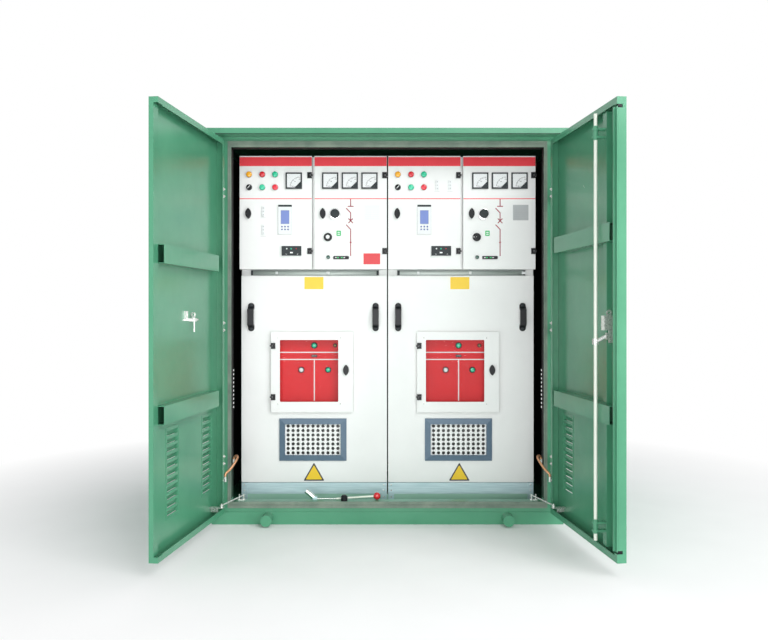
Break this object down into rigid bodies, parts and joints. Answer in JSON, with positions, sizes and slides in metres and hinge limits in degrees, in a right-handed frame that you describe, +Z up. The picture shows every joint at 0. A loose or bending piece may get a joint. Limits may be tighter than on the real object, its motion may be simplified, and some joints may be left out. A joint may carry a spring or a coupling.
{
  "type": "vacuum circuit breaker switchgear",
  "caption": "Outdoor metal kiosk with folding pair of louvred doors, holding side-by-side vacuum circuit breaker units with instrument doors and windowed breaker panels.",
  "frame": {"origin": "middle of the underside of the base frame, on the ground", "axes": "+Z up, front and doorway towards -Y, +X to the right seen from the front"},
  "size_m": [1.942, 2.1881, 2.042],
  "materials": {
    "green_paint": "satin",
    "gasket_rubber": "matt",
    "bright_steel": "zinc plated",
    "zinc_steel": "zinc plated",
    "copper_braid": "woven",
    "white_paint": "satin",
    "light_plastic": "matt",
    "red_paint": "satin",
    "blue_grey_plastic": "satin",
    "black_plastic": "satin",
    "green_plastic": "gloss",
    "lever_steel": "satin",
    "window_glass": "clear"
  },
  "bodies": {
    "kiosk": {"base_frame": "green_paint", "lifting_pins": "green_paint", "floor_plate": "green_paint", "unit_rails": "green_paint", "left_wall": "green_paint", "right_wall": "green_paint", "back_wall": "green_paint", "roof": "green_paint", "door_frame": "green_paint", "door_gasket": "gasket_rubber", "frame_hinges": "bright_steel", "stay_guides": "bright_steel", "left_braid": "copper_braid", "right_braid": "copper_braid", "operating_lever": "lever_steel", "socket_cap": "black_plastic", "unit_1_cabinet": "white_paint", "unit_2_cabinet": "white_paint", "unit_1_panel": "white_paint", "unit_2_panel": "white_paint", "kick_plates": "zinc_steel", "pull_handles": "black_plastic", "breaker_housings": "red_paint", "breaker_buttons": "green_plastic", "vent_frames": "blue_grey_plastic", "vent_plates": "white_paint"},
    "left_door": {"left_leaf": "green_paint", "left_leaf_rails": "green_paint", "left_leaf_hinges": "bright_steel", "left_leaf_latch": "bright_steel"},
    "right_door": {"right_leaf": "green_paint", "right_leaf_rails": "green_paint", "right_leaf_hinges": "bright_steel", "right_leaf_rod": "bright_steel", "right_leaf_lock": "bright_steel"},
    "left_stay_arm": {"left_stay": "bright_steel"},
    "right_stay_arm": {"right_stay": "bright_steel"},
    "instrument_door_1": {"door_1": "white_paint", "door_1_fittings": "black_plastic", "door_1_buttons": "black_plastic", "door_1_meter": "black_plastic", "door_1_relay": "light_plastic"},
    "instrument_door_2": {"door_2": "white_paint", "door_2_fittings": "black_plastic", "door_2_meters": "black_plastic", "door_2_switches": "black_plastic"},
    "instrument_door_3": {"door_3": "white_paint", "door_3_fittings": "black_plastic", "door_3_buttons": "black_plastic", "door_3_relay": "light_plastic"},
    "instrument_door_4": {"door_4": "white_paint", "door_4_fittings": "black_plastic", "door_4_meters": "black_plastic", "door_4_switches": "black_plastic"},
    "breaker_window_1": {"window_door_1": "white_paint", "window_glass_1": "window_glass", "window_fittings_1": "black_plastic"},
    "breaker_window_2": {"window_door_2": "white_paint", "window_glass_2": "window_glass", "window_fittings_2": "black_plastic"}
  },
  "joints": [
    {"name": "left_door_hinge", "type": "hinge", "parent": "kiosk", "child": "left_door", "pos_m": [-0.857, -0.64, 1.018], "axis": [0, 0, -1], "range_deg": [-97, 12], "deforming": ["left_braid"]},
    {"name": "right_door_hinge", "type": "hinge", "parent": "kiosk", "child": "right_door", "pos_m": [0.857, -0.64, 1.018], "axis": [0, 0, 1], "range_deg": [-97, 12], "deforming": ["right_braid"]},
    {"name": "left_stay_pivot", "type": "hinge", "parent": "left_door", "child": "left_stay_arm", "pos_m": [-0.82175, -0.76321, 0.134], "axis": [0, 0, -1], "range_deg": [-6.5, 49]},
    {"name": "right_stay_pivot", "type": "hinge", "parent": "right_door", "child": "right_stay_arm", "pos_m": [0.82175, -0.76321, 0.134], "axis": [0, 0, 1], "range_deg": [-6.5, 49]},
    {"name": "instrument_door_1_hinge", "type": "hinge", "parent": "kiosk", "child": "instrument_door_1", "pos_m": [-0.411, -0.417, 1.624], "axis": [0, 0, 1], "range_deg": [0, 80]},
    {"name": "instrument_door_2_hinge", "type": "hinge", "parent": "kiosk", "child": "instrument_door_2", "pos_m": [-0.008, -0.417, 1.624], "axis": [0, 0, 1], "range_deg": [0, 80]},
    {"name": "instrument_door_3_hinge", "type": "hinge", "parent": "kiosk", "child": "instrument_door_3", "pos_m": [0.389, -0.417, 1.624], "axis": [0, 0, 1], "range_deg": [0, 80]},
    {"name": "instrument_door_4_hinge", "type": "hinge", "parent": "kiosk", "child": "instrument_door_4", "pos_m": [0.792, -0.417, 1.624], "axis": [0, 0, 1], "range_deg": [0, 80]},
    {"name": "breaker_window_1_hinge", "type": "hinge", "parent": "kiosk", "child": "breaker_window_1", "pos_m": [-0.628, -0.382, 0.77], "axis": [0, 0, -1], "range_deg": [0, 110]},
    {"name": "breaker_window_2_hinge", "type": "hinge", "parent": "kiosk", "child": "breaker_window_2", "pos_m": [0.164, -0.382, 0.77], "axis": [0, 0, -1], "range_deg": [0, 110]}
  ],
  "couplings": [
    {"joint": "left_stay_pivot", "follows": "left_door_hinge", "ratio": -0.5},
    {"joint": "right_stay_pivot", "follows": "right_door_hinge", "ratio": -0.5}
  ]
}
